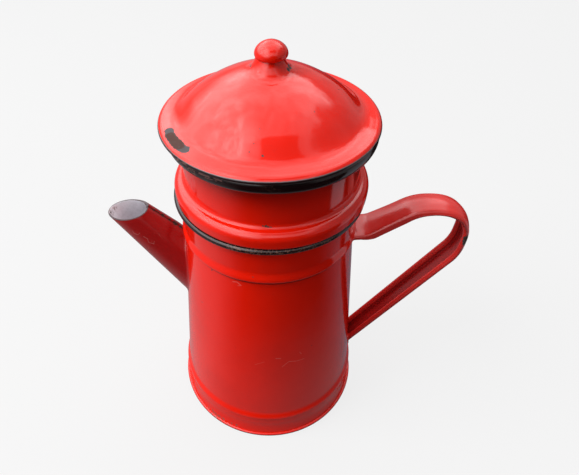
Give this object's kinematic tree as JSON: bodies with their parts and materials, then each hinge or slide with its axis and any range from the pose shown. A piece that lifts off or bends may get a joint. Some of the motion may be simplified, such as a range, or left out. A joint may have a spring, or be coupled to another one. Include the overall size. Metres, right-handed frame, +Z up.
{
  "type": "drip coffee pot",
  "caption": "Enamelled drip coffee pot: conical pot with slanted spout and strap handle, lift-out filter vessel and spreader, and a domed lid with a knob.",
  "frame": {"origin": "on the pot's axis, in the plane that it stands on", "axes": "+Z up along the axis, -X towards the spout, +X towards the handle"},
  "size_m": [0.2095, 0.1292, 0.2524],
  "materials": {
    "red_enamel": "glossy red vitreous enamel over sheet steel, chipped at the edges",
    "dark_enamel": "glossy black enamel edge, worn to brown",
    "tinned_steel": "dull tinned sheet steel",
    "dark_wood": "dark lacquered turned wood"
  },
  "bodies": {
    "pot": {"pot_shell": "red_enamel", "pot_floor": "dark_enamel", "foot_hem": "dark_enamel", "pot_rim": "dark_enamel", "spout": "red_enamel", "handle_strap": "red_enamel"},
    "filter": {"filter_wall": "red_enamel", "filter_rim": "dark_enamel", "filter_floor": "tinned_steel"},
    "spreader": {"spreader_plate": "tinned_steel", "spreader_knob": "dark_wood", "spreader_rivet": "tinned_steel"},
    "lid": {"lid_shell": "red_enamel", "lid_collar": "red_enamel", "knob_neck": "red_enamel", "lid_knob": "red_enamel"}
  },
  "joints": [
    {"name": "filter_lift", "type": "slide", "parent": "pot", "child": "filter", "axis": [0, 0, 1], "range_m": [0, 0.08]},
    {"name": "spreader_lift", "type": "slide", "parent": "filter", "child": "spreader", "axis": [0, 0, 1], "range_m": [0, 0.1]},
    {"name": "lid_lift", "type": "slide", "parent": "spreader", "child": "lid", "axis": [0, 0, 1], "range_m": [0, 0.06]}
  ]
}
